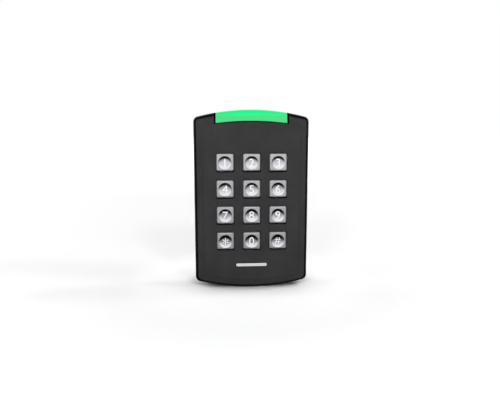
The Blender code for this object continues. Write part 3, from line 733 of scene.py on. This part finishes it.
def security_hole():
    """Stepped hole for the security screw, up through the bottom edge."""
    profile = [(SCREW_HOLE, SECURITY_HOLE_TOP), (SCREW_HOLE, SECURITY_SEAT_Z),
               (SECURITY_HEAD_HOLE, SECURITY_SEAT_Z), (SECURITY_HEAD_HOLE, FAR_DOWN)]
    hole = solid("security_hole", turned(profile, 32))
    hole.matrix_world = Matrix.Translation((0, SECURITY_MIDDLE.y, 0)) @ Matrix.Rotation(math.pi / 2, 4, "X")
    return hole


def make_case():
    case = solid("case", outer_rings())
    pocket = solid("pocket", slab(body_outline(SKIRT_WALL), LEDGE_Y, PAST))
    boss = solid("boss", block(BOSS_HALF_WIDTH, FAR_DOWN, BOSS_TOP, LEDGE_Y - PAST, BOSS_BACK))
    combine(pocket, [("DIFFERENCE", boss)])
    cavity = solid("cavity", cavity_rings())
    posts = round_bars(COVER_SCREWS, COVER_POST) + round_bars(BOARD_SCREWS, BOARD_POST)
    wall = block(NOTCH_HALF_WIDTH + SKIRT_WALL, FAR_DOWN, NOTCH_TOP + SKIRT_WALL, FACE_Y, 0.0)
    combine(cavity, [("DIFFERENCE", solid("posts", *posts)), ("DIFFERENCE", solid("wall", wall))])
    windows = solid("windows", *[window_cutter(*key_centre(name)) for name in KEYS])
    notch = solid("notch", slab(lens_outline(GAP), FACE_Y - PAST, LENS_HIGH.y + GAP))
    half_height = BADGE_HALF_HEIGHT + BADGE_GAP
    outline = rounded_box(BADGE_HIGH.x + BADGE_GAP, half_height, half_height - 2 * ROUND_END_FLAT)
    outline = moved(outline, 0.0, BADGE_MIDDLE.z)
    recess = solid("recess", slab(outline, FACE_Y - PAST, FACE_Y + BADGE_RECESS))
    pilots = round_bars(COVER_SCREWS, COVER_PILOT, 24) + round_bars(BOARD_SCREWS, BOARD_PILOT, 24)
    pilots = solid("pilots", *pilots)
    cutters = [pocket, cavity, windows, notch, groove_cutter(), recess, pilots, security_hole()]
    combine(case, [("DIFFERENCE", cutter) for cutter in cutters])
    flatten(case)
    finish_piece(case, ROOT, ["front_housing"], "black_plastic", CASE, CASE_EDGE_GLOSS_AND_SHADE, CASE_PAINTED_SHADE)
    paint_case(case)


def paint_case(case):
    """Textured front, polished edge and sides painted darker as shade, and near-black painted shade in the
    gaps round keys, badge and light bar.
    """
    keys = [key_centre(name) for name in KEYS]
    left, right, above, below = [side + WINDOW_LIP for side in WINDOW]
    badge_x = BADGE_HIGH.x + 2 * BADGE_GAP
    badge_z = BADGE_HALF_HEIGHT + 2 * BADGE_GAP
    for face in case.data.polygons:
        x, z = face.center.x, face.center.z
        beside_bar = abs(x) < LENS_HIGH.x + GROOVE_WIDTH and face.center.y < LENS_HIGH.y + 2 * GAP
        by_bar = beside_bar and z > bar_edge(x, GROOVE_LOW_Z, FACE_TOP_RADIUS)
        by_key = any(-left < x - key_x < right and -below < z - key_z < above for key_x, key_z in keys)
        by_badge = abs(x) < badge_x and abs(z - BADGE_MIDDLE.z) < badge_z
        sunk = face.center.y > FACE_Y + FLUSH
        # Faces in the gaps round keys, badge and light bar are painted near-black as shade
        in_painted_shade = by_bar or (sunk and (by_key or by_badge))
        # Faces turned away from the front, or set back, are glossier and painted darker as shade
        polished_and_shaded = face.normal.y > -math.cos(EDGE_GLOSS_AND_SHADE_FROM) or face.center.y > FACE_Y + 2 * BORDER_DROP
        # 0 is the textured material, 1 the polished one painted darker as shade, and 2 the near-black painted
        # shade
        face.material_index = 2 if in_painted_shade else int(polished_and_shaded)


def make_light_bar():
    lens = solid("light_bar", outer_rings())
    area = solid("lens_area", slab(lens_outline(0.0), FACE_Y - PAST, LENS_HIGH.y))
    combine(lens, [("INTERSECT", area), ("DIFFERENCE", solid("inside", cavity_rings()))])
    soften(lens, 0.2 * MM, segments=3, angle=50.0)
    finish_piece(lens, ROOT, ["light_bar_lens"], "green_lens", LENS)


def make_badge():
    """A blank light strip where a maker would put a name."""
    corner = BADGE_HALF_HEIGHT - ROUND_END_FLAT
    outline = rounded_box(BADGE_HIGH.x, BADGE_HALF_HEIGHT, corner)
    inner = rounded_box(BADGE_HIGH.x - BADGE_EDGE, BADGE_HALF_HEIGHT - BADGE_EDGE, corner - BADGE_EDGE)
    rings = [(inner, BADGE_LOW.y), (outline, BADGE_LOW.y + BADGE_EDGE), (outline, BADGE_HIGH.y)]
    badge = solid("badge", [(moved(points, 0.0, BADGE_MIDDLE.z), y) for points, y in rings])
    flatten(badge)
    finish_piece(badge, ROOT, ["badge_plate"], "badge_white", BADGE)


# Keys

def dish_depth(radius):
    """Rolls over at the lip, then falls steeply, and is nearly flat in the middle."""
    slope = DISH_POWER * DISH_DEPTH / DISH_RADIUS
    if radius > DISH_RADIUS:
        return slope * max(DISH_RADIUS + DISH_LIP - radius, 0.0) ** 2 / (2 * DISH_LIP)
    return slope * DISH_LIP / 2 + DISH_DEPTH * (1 - (radius / DISH_RADIUS) ** DISH_POWER)


def dish_circle(radius, points):
    return moved(circle(radius, points), 0.0, -DISH_DROP)


def key_rings():
    """From the hollow in the back, round the outside and down into the dish, centred on 0."""
    hollow = rounded_box(KEY_HOLLOW_HALF, KEY_HOLLOW_HALF, KEY_HOLLOW_CORNER)
    rings = [(hollow, KEY_BACK_Y - KEY_HOLLOW_DEPTH), (hollow, KEY_BACK_Y)]
    rings.append((rounded_box(KEY_HALF, KEY_HALF, KEY_CORNER), KEY_BACK_Y))
    edge_steps = 6
    for step in range(edge_steps + 1):
        angle = math.pi / 2 * step / edge_steps
        inset = KEY_EDGE * (1 - math.cos(angle))
        outline = rounded_box(KEY_HALF - inset, KEY_HALF - inset, KEY_CORNER - inset)
        rings.append((outline, KEY_TOP_Y + KEY_EDGE * (1 - math.sin(angle))))
    points = len(hollow)
    dish_steps = 20
    radii = [DISH_RADIUS + DISH_LIP, DISH_RADIUS + DISH_LIP / 2]
    radii += [DISH_RADIUS * (1 - (step / dish_steps) ** 1.4) for step in range(dish_steps)]
    rings += [(dish_circle(radius, points), KEY_TOP_Y + dish_depth(radius)) for radius in radii]
    return rings


def make_key(name):
    x, z = key_centre(name)
    rings = [(moved(outline, x, z), y) for outline, y in key_rings()]
    key = solid("key_" + name, rings)
    flatten(key)
    finish_piece(key, "key_" + name, ["key_cap_" + name], "key_metal", KEY_SATIN, KEY_POLISHED)
    # Polished in the dish, but not in the hollow far behind it
    behind_dish = KEY_TOP_Y + 1.2 * DISH_DEPTH
    for face in key.data.polygons:
        off_centre = math.hypot(face.center.x - x, face.center.z - z + DISH_DROP)
        face.material_index = int(off_centre < DISH_RADIUS and face.center.y < behind_dish)
    make_legend(name, x, z)


def make_legend(name, x, z):
    """The key's number or sign, as a thin inlay that follows the dish."""
    curve = bpy.data.curves.new("legend", "FONT")
    curve.body = KEY_SIGNS.get(name, name)
    curve.extrude = 0.05
    curve.resolution_u = 6
    text = bpy.data.objects.new("legend", curve)
    bpy.context.scene.collection.objects.link(text)
    bpy.context.view_layer.update()
    mesh = text.to_mesh()
    bm = bmesh.new()
    bm.from_mesh(mesh)
    text.to_mesh_clear()
    bpy.data.objects.remove(text, do_unlink=True)
    bmesh.ops.remove_doubles(bm, verts=bm.verts, dist=1e-4)
    lows = [min(v.co[i] for v in bm.verts) for i in (0, 1)]
    highs = [max(v.co[i] for v in bm.verts) for i in (0, 1)]
    height = SIGN_HEIGHT if name in KEY_SIGNS else LEGEND_HEIGHT
    scale = height / (highs[1] - lows[1])
    middle = [(a + b) / 2 for a, b in zip(lows, highs)]
    # Until its depth is known, a point of the back has y = 1 and a point of the front y = 0
    for v in bm.verts:
        v.co = ((v.co.x - middle[0]) * scale, 1.0 if v.co.z < 0 else 0.0, (v.co.y - middle[1]) * scale)
    for number in range(-8, 9):
        cut_at = number * LEGEND_CELL
        for normal in ((1, 0, 0), (0, 0, 1)):
            geometry = bm.verts[:] + bm.edges[:] + bm.faces[:]
            bmesh.ops.bisect_plane(bm, geom=geometry, plane_co=[n * cut_at for n in normal], plane_no=normal,
                                   dist=1e-7)
    bmesh.ops.triangulate(bm, faces=[f for f in bm.faces if len(f.verts) > 4])
    for v in bm.verts:
        surface = KEY_TOP_Y + dish_depth(math.hypot(v.co.x, v.co.z))
        y = surface + LEGEND_SUNK if v.co.y > 0.5 else surface - LEGEND_PROUD
        v.co = (v.co.x + x, y, v.co.z + z - DISH_DROP)
    legend = new_object("legend_" + name, bm)
    finish_piece(legend, "key_" + name, [], "badge_white", LEGEND)


# Rubber mat: a flat sheet, and a dome under each key

def make_mat():
    low, high, _ = box_of("keypad_mat")
    front = high.y - MAT_THICKNESS
    outline = rounded_box(high.x, (high.z - low.z) / 2, MAT_CORNER)
    mat = solid("mat_sheet", slab(moved(outline, 0.0, (high.z + low.z) / 2), front, high.y))
    hole = [(MAT_HOLE[0], high.y + PAST), (MAT_HOLE[1], front - PAST)]
    hollows = solid("hollows", *[turned(hole, 32, *key_centre(name)) for name in KEYS])
    combine(mat, [("DIFFERENCE", hollows)])
    soften(mat, 0.15 * MM)
    finish_piece(mat, ROOT, ["keypad_mat"], "silicone", MAT)
    outside = section(DOME_FOOT, front) + section(DOME_TOP, low.y)
    inside = section(DOME_INNER_TOP, low.y) + section(DOME_INNER_FOOT, front)
    for name in KEYS:
        x, z = key_centre(name)
        bm = bmesh.new()
        add_dome(bm, turned(outside, 32, x, z), turned(inside, 32, x, z))
        dome = new_object("mat_dome_" + name, bm, sharp=60.0)
        finish_piece(dome, ROOT, [], "silicone", MAT)
        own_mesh(dome)


def add_dome(bm, outside, inside):
    """A closed shell: outside from foot to top, then inside from top to foot, joined at the foot."""
    outer = ring_loops(bm, outside)
    inner = ring_loops(bm, inside)
    for loops in (outer, inner, [inner[-1], outer[0]]):
        bridge(bm, loops)
    bm.faces.new(outer[-1])
    bm.faces.new(inner[0])


# Back: rear cover, cable grommet and wall plate

def make_back():
    cover = solid("back_cover", slab(body_outline(SKIRT_WALL + GAP), COVER_LOW.y, COVER_HIGH.y))
    cuts = [block(NOTCH_HALF_WIDTH, FAR_DOWN, NOTCH_TOP, NOTCH_FRONT, PAST)]
    stepped = [(SCREW_HOLE, COVER_CUT_FRONT), (SCREW_HOLE, COUNTERBORE_SEAT),
               (COUNTERBORE, COUNTERBORE_SEAT), (COUNTERBORE, 0.0)]
    cuts += [turned(stepped, 32, x, z) for x, z in COVER_SCREWS]
    grommet_at = [(GROMMET_MIDDLE.x, GROMMET_MIDDLE.z)]
    pin_at = [(PIN_MIDDLE.x, PIN_MIDDLE.z)]
    cuts += round_bars(grommet_at, (GROMMET_HOLE, COVER_CUT_FRONT, 0.0), 48)
    cuts += round_bars(pin_at, (COVER_PIN_HOLE, COVER_CUT_FRONT, 0.0))
    cuts += [block(*LUG_SLOT, 0.0, side * LUG_X) for side in (-1, 1)]
    combine(cover, [("DIFFERENCE", solid("cover_cuts", *cuts))])
    soften(cover, 0.2 * MM, angle=60.0)
    finish_piece(cover, ROOT, ["rear_cover"], "black_plastic", COVER)

    profile = [(radius * MM, max(y * MM, GROMMET_LOW.y)) for radius, y in GROMMET_PROFILE]
    ring = solid("cable_inlet", turned(profile, 48, *grommet_at[0]), cyclic=True)
    flatten(ring)
    finish_piece(ring, ROOT, ["cable_grommet"], "silicone", RUBBER)


def make_plate():
    plate = solid("mounting_plate", slab(body_outline(PLATE_INSET), -PLATE_THICKNESS, 0.0))
    inside = -PLATE_THICKNESS / 2
    joined = [block(*TAB, PLATE_LOW.y, inside)]
    joined += [block(*LUG, inside, side * LUG_X) for side in (-1, 1)]
    through = (-PLATE_THICKNESS - PAST, PAST)
    opening = rounded_box(CABLE_OPENING_HALF, CABLE_OPENING_HALF, CABLE_OPENING_CORNER)
    cuts = [slab(moved(opening, 0.0, CABLE_OPENING_Z), *through)]
    slot = rounded_box(*SLOT_HALF, SLOT_CORNER)
    cuts += [slab(moved(slot, 0.0, side * SLOT_Z), *through) for side in (-1, 1)]
    cuts += round_bars(WALL_HOLES, (WALL_HOLE, *through))
    cuts += round_bars([(PIN_MIDDLE.x, PIN_MIDDLE.z)], (PLATE_PIN_HOLE, *through))
    combine(plate, [("UNION", solid("plate_joined", *joined)), ("DIFFERENCE", solid("plate_cuts", *cuts)),
                    ("DIFFERENCE", security_hole())])
    soften(plate, 0.2 * MM, angle=60.0)
    finish_piece(plate, ROOT, ["wall_plate"], "steel", ZINC)


# Screws and the tamper pin

def screw_object(name, size):
    """A pan head with a six-lobe socket, and a turned thread. The head's top is at 0, the tip at -length."""
    head, head_height, length = size
    segments = 36
    lobes = []
    for i in range(segments):
        angle = 2 * math.pi * (i + 0.5) / segments
        radius = head * (SOCKET_RADIUS + SOCKET_LOBE * math.cos(6 * angle))
        lobes.append((radius * math.cos(angle), radius * math.sin(angle)))
    rings = [(lobes, -head_height * SOCKET_DEPTH), (lobes, 0.0)]
    rings += [(circle(head * wide, segments), -head_height * down) for wide, down in SCREW_HEAD]
    rings.append((circle(SHANK * SCREW_NECK, segments), -head_height))
    depth = -head_height - PITCH
    while depth > -length + 2 * PITCH:
        rings.append((circle(SHANK * THREAD_ROOT, segments), depth))
        rings.append((circle(SHANK, segments), depth - PITCH * 0.5))
        depth -= PITCH
    rings.append((circle(SHANK * POINT_START, segments), depth))
    rings.append((circle(SHANK * POINT_END, segments), -length))
    return solid(name, rings)


def make_screws():
    for kind, places, size in (("cover", COVER_SCREWS, COVER_SCREW), ("board", BOARD_SCREWS, BOARD_SCREW)):
        for number, (x, z) in enumerate(places, 1):
            node = f"{kind}_screw_{number}"
            screw = screw_object("fitted_" + node, size)
            screw.location = (x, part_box(node)[1].y, z)
            finish_piece(screw, ROOT, [node], "steel", SCREW)
    screw = screw_object("bottom_screw", SECURITY_SCREW)
    place = Vector((0, SECURITY_MIDDLE.y, SECURITY_LOW.z))
    screw.matrix_world = Matrix.Translation(place) @ Matrix.Rotation(-math.pi / 2, 4, "X")
    finish_piece(screw, ROOT, ["security_screw"], "steel", SCREW)


def make_tamper():
    profile = section(PIN_FRONT, PIN_LOW.y) + section(PIN_BACK, PIN_HIGH.y)
    pin = solid("tamper_pin", turned(profile, 40, PIN_MIDDLE.x, PIN_MIDDLE.z))
    flatten(pin)
    finish_piece(pin, "tamper_pin", ["tamper_plunger"], "white_plastic", WHITE)
    low, high, middle = box_of("tamper_spring")
    spring = make_coil("tamper_coil", middle, low.y, high.y)
    finish_piece(spring, ROOT, ["tamper_spring"], "steel", SPRING)
    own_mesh(spring)


def make_coil(name, middle, low, high):
    """A coil of round wire along y, nearly flat at both ends."""
    steps = COIL_TURNS * 36
    wire_turns = [2 * math.pi * i / 10 for i in range(10)]
    bm = bmesh.new()
    loops = []
    for step in range(steps + 1):
        share = step / steps
        angle = 2 * math.pi * COIL_TURNS * share
        rise = min(max((share - COIL_FLAT) / (1 - 2 * COIL_FLAT), 0.0), 1.0)
        climb = COIL_EVEN_CLIMB * share + (1 - COIL_EVEN_CLIMB) * rise
        y = low + COIL_WIRE + (high - low - 2 * COIL_WIRE) * climb
        across, up = math.cos(angle), math.sin(angle)
        centre = Vector((middle.x + COIL_RADIUS * across, y, middle.z + COIL_RADIUS * up))
        outward = Vector((across, 0, up))
        around = [math.cos(turn) * outward + Vector((0, math.sin(turn), 0)) for turn in wire_turns]
        loops.append([bm.verts.new(centre + COIL_WIRE * out) for out in around])
    bridge(bm, loops)
    bm.faces.new(loops[0])
    bm.faces.new(loops[-1])
    return new_object(name, bm)


# CAD pieces whose shape is right, with better materials

def refinish():
    chosen = {"main_board": BOARD, "antenna_coil": COPPER, "rf_chip": CHIP, "processor_chip": CHIP,
              "buzzer": CHIP, "terminal_block": TERMINAL, "tamper_switch": CHIP, "rear_gasket": RUBBER,
              "light_guide": CLEAR}
    chosen.update({f"led_{number}": WHITE for number in range(1, 5)})
    # The key carriers take near-black painted shade
    chosen.update({f"key_carrier_{name}": CARRIER_PAINTED_SHADE for name in KEYS})
    for node, made in chosen.items():
        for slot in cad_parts[node].material_slots:
            slot.material = made


# Studio

# The floor's own light, a painted glow, against the distance from the object in metres; its dip near the
# object is a painted shadow
FLOOR_GLOW = [(0.0, 0.34), (0.04, 0.34), (0.10, 0.15), (0.20, 0.18), (0.50, 0.30), (0.75, 0.70), (1.0, 1.0)]
# Half width and half depth of the patch under the object that has no light of its own, a painted contact
# shadow, and the share of the floor's light against the distance from its middle, with 0.5 at the patch's
# edge
FOOTPRINT = (0.044, 0.0245)
FOOT_SHARE = [(0.50, 0.0), (0.56, 0.55), (0.95, 1.0)]
FLOOR_RADIUS = 4.0
LIGHT_DISTANCE = 1.2
FLOOR_INNER_RADIUS = 0.5
WALL_HEIGHT = 6.0
# Brightness of the room against the sine of the height angle, and against how far behind it is, both 0 to 1
WORLD_HEIGHT = [(0.0, 0.30), (0.06, 0.25), (0.11, 0.01), (0.31, 0.004), (0.36, 0.20), (0.385, 0.30),
                (0.46, 0.72), (0.60, 1.0), (1.0, 1.0)]
WORLD_DEPTH = [(0.0, 1.0), (0.06, 0.95), (0.10, 0.70), (0.15, 0.35), (0.20, 0.06), (0.25, 0.003),
               (0.53, 0.003), (0.62, 0.6), (0.72, 1.0), (1.0, 1.0)]


def floor_distance(tree, scale):
    """How far a point is from the middle of the object, after its place is multiplied by scale."""
    place = tree.nodes.new("ShaderNodeTexCoord")
    flat = tree.nodes.new("ShaderNodeMapping")
    flat.inputs["Scale"].default_value = scale
    away = tree.nodes.new("ShaderNodeVectorMath")
    away.operation = "LENGTH"
    tree.links.new(place.outputs["Object"], flat.inputs["Vector"])
    tree.links.new(flat.outputs["Vector"], away.inputs[0])
    return away.outputs["Value"]


def white_floor(name):
    """Matt white with a painted glow of its own, weak near the object and none right under it: a painted
    shadow round and under the object.
    """
    made, tree, shader = shader_nodes(name)
    cloud = object_noise(tree, 0.5)
    pale = ramp(tree, cloud, [(0.3, (0.90, 0.90, 0.90)), (0.7, (0.92, 0.92, 0.92))])
    tree.links.new(pale, shader.inputs["Base Color"])
    shader.inputs["Roughness"].default_value = 1.0
    shader.inputs["Specular IOR Level"].default_value = 0.0
    glow = ramp(tree, floor_distance(tree, (1, 1, 0)), [(distance, (v, v, v)) for distance, v in FLOOR_GLOW])
    near = floor_distance(tree, (0.5 / FOOTPRINT[0], 0.5 / FOOTPRINT[1], 0))
    share = ramp(tree, near, [(distance, (v, v, v)) for distance, v in FOOT_SHARE])
    tree.links.new(glow, shader.inputs["Emission Color"])
    tree.links.new(share, shader.inputs["Emission Strength"])
    return made


def plain_glow(name):
    """A surface that is evenly white, however it is lit."""
    made, _, shader = shader_nodes(name)
    shader.inputs["Base Color"].default_value = (0, 0, 0, 1)
    shader.inputs["Specular IOR Level"].default_value = 0.0
    shader.inputs["Emission Color"].default_value = (1, 1, 1, 1)
    shader.inputs["Emission Strength"].default_value = 1.0
    return made


def stage_object(name, rings, finish):
    """A floor or wall from (radius, height) rings, round the object."""
    bm = bmesh.new()
    segments = 96
    turns = [2 * math.pi * i / segments for i in range(segments)]
    loops = []
    for radius, z in rings:
        loops.append([bm.verts.new((radius * math.cos(a), radius * math.sin(a), z)) for a in turns])
    bridge(bm, loops)
    bm.faces.new(loops[0])
    mesh = bpy.data.meshes.new(name)
    bm.to_mesh(mesh)
    bm.free()
    made = bpy.data.objects.new(name, mesh)
    made.data.materials.append(finish)
    bpy.context.scene.collection.objects.link(made)
    made.visible_glossy = False
    return made


def make_studio():
    floor_z = -BODY_HALF_HEIGHT
    floor_rings = [(FLOOR_INNER_RADIUS, floor_z), (FLOOR_RADIUS, floor_z)]
    stage_object("floor", floor_rings, white_floor("white_floor"))
    top = floor_z + WALL_HEIGHT
    wall_rings = [(FLOOR_INNER_RADIUS, top), (FLOOR_RADIUS, top), (FLOOR_RADIUS, floor_z)]
    wall = stage_object("backdrop", wall_rings, plain_glow("backdrop"))
    wall.visible_diffuse = False
    wall.visible_shadow = False
    wall.visible_transmission = False


def area_light(name, azimuth, elevation, size, watts):
    """A round soft light that faces the object's foot. Azimuth 0 is +X, and 90 is behind."""
    data = bpy.data.lights.new(name, "AREA")
    data.shape = "DISK"
    data.size = size
    data.energy = watts
    light = bpy.data.objects.new(name, data)
    turn, rise = math.radians(azimuth), math.radians(elevation)
    out = Vector((math.cos(rise) * math.cos(turn), math.cos(rise) * math.sin(turn), math.sin(rise)))
    light.location = LIGHT_DISTANCE * out + Vector((0, 0, -BODY_HALF_HEIGHT))
    light.rotation_euler = (-out).to_track_quat("-Z", "Y").to_euler()
    light.visible_glossy = False
    bpy.context.scene.collection.objects.link(light)


def make_lights():
    area_light("right_rear", 8.0, 51.0, 0.20, 2.2)
    area_light("right_front", -18.0, 36.0, 0.24, 2.5)
    area_light("front_right", -70.0, 36.0, 0.17, 2.25)
    area_light("front_left", -110.0, 31.0, 0.21, 1.6)
    area_light("left_front", -164.0, 37.0, 0.50, 1.8)
    area_light("left_rear", 167.0, 33.0, 0.31, 1.55)
    make_world()


def make_world():
    """A room that is bright in front, behind and above, dark to the sides and low down, and dim below."""
    world = bpy.data.worlds.new("studio")
    bpy.context.scene.world = world
    world.use_nodes = True
    tree = world.node_tree
    background = tree.nodes["Background"]
    place = tree.nodes.new("ShaderNodeTexCoord")
    parts = tree.nodes.new("ShaderNodeSeparateXYZ")
    tree.links.new(place.outputs["Generated"], parts.inputs["Vector"])
    rise = unit_range(tree, parts.outputs["Z"])
    depth = unit_range(tree, parts.outputs["Y"])
    by_height = ramp(tree, rise, [(share, (v, v, v * 1.02)) for share, v in WORLD_HEIGHT])
    by_depth = ramp(tree, depth, [(share, (v, v, v)) for share, v in WORLD_DEPTH])
    mixed = tree.nodes.new("ShaderNodeMix")
    mixed.data_type = "RGBA"
    mixed.blend_type = "MULTIPLY"
    mixed.inputs["Factor"].default_value = 1.0
    # The sockets for colours are numbers 6 and 7 in, and number 2 out
    tree.links.new(by_height, mixed.inputs[6])
    tree.links.new(by_depth, mixed.inputs[7])
    tree.links.new(mixed.outputs[2], background.inputs["Color"])
    background.inputs["Strength"].default_value = 1.0


def unit_range(tree, value):
    """-1 to 1 becomes 0 to 1."""
    node = tree.nodes.new("ShaderNodeMapRange")
    node.inputs["From Min"].default_value = -1.0
    node.inputs["From Max"].default_value = 1.0
    tree.links.new(value, node.inputs["Value"])
    return node.outputs["Result"]


def main():
    make_camera()
    make_case()
    make_light_bar()
    make_badge()
    for name in KEYS:
        make_key(name)
    make_mat()
    make_back()
    make_plate()
    make_screws()
    make_tamper()
    refinish()
    make_studio()
    make_lights()
    bpy.context.scene.view_settings.view_transform = "Standard"


main()
